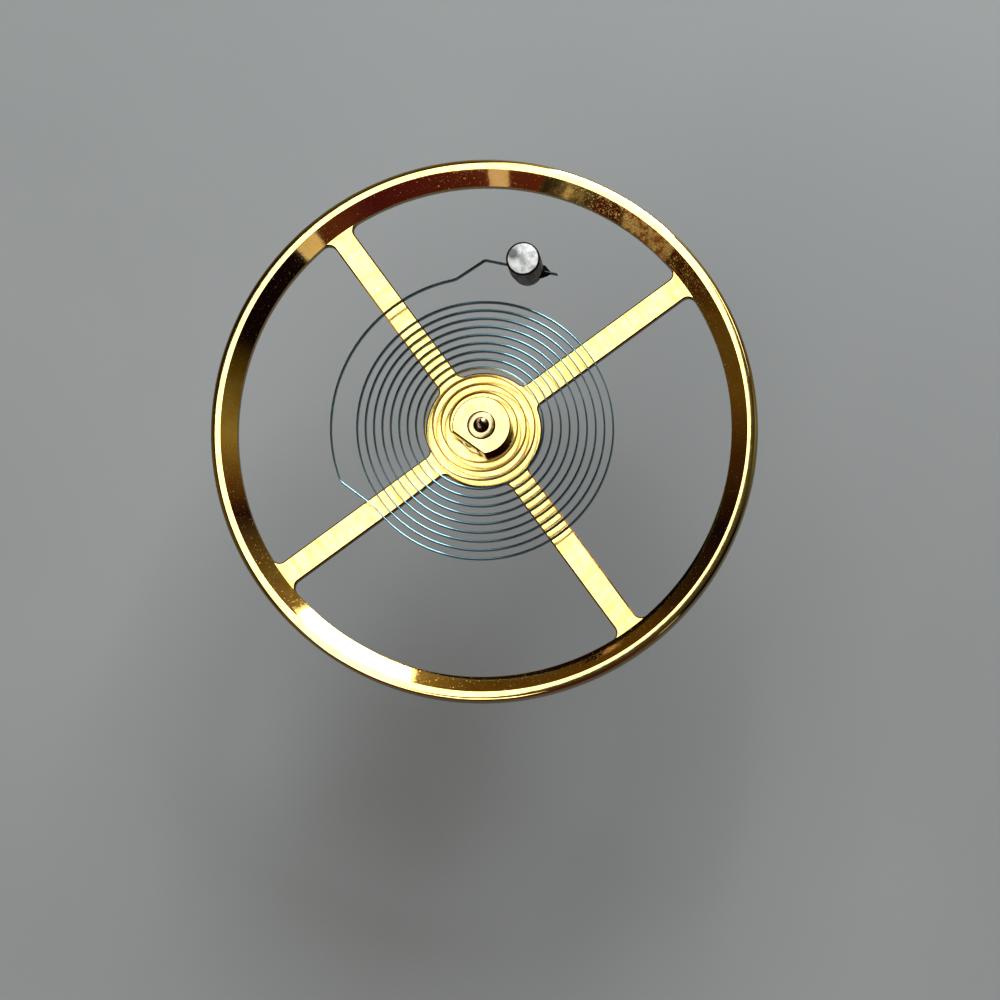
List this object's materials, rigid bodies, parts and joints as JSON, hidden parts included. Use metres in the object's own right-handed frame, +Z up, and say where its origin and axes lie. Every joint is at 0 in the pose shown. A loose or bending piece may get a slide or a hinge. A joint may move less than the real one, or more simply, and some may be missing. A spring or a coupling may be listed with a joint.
{
  "type": "balance wheel",
  "caption": "Smooth balance wheel of a mechanical watch with its staff, double roller, collet, flat hairspring and stud; it swings to and fro and keeps time.",
  "frame": {"origin": "tip of the lower pivot, on the staff's axis", "axes": "+Z up the staff, from the roller towards the hairspring; the wheel's arms lie along X and Y; the impulse pin is on the -X side"},
  "size_m": [0.01, 0.01, 0.0035],
  "materials": {
    "gilt_wheel": "polished faces with a fine mottled grain",
    "staff_steel": "polished, hardened",
    "roller_brass": "polished",
    "ruby": "polished",
    "shellac": "melted, glossy",
    "collet_metal": "turned, polished",
    "weld_metal": "melted",
    "spring_alloy": "blued, polished",
    "stud_steel": "turned, with a fine grain",
    "cement": "dark, glossy"
  },
  "bodies": {
    "stud_side": {"hairspring_stud": "stud_steel", "stud_cement": "cement", "hairspring": "spring_alloy"},
    "balance": {"balance_wheel": "gilt_wheel", "balance_staff": "staff_steel", "double_roller": "roller_brass", "impulse_jewel": "ruby", "jewel_shellac": "shellac", "collet": "collet_metal", "collet_weld": "weld_metal"}
  },
  "joints": [
    {"name": "balance_turn", "type": "hinge", "parent": "stud_side", "child": "balance", "pos_m": [0, 0, 0], "axis": [0, 0, 1], "range_deg": [-300, 300], "stiffness_Nm_per_rad": 0.00000037, "deforming": ["hairspring"]}
  ]
}
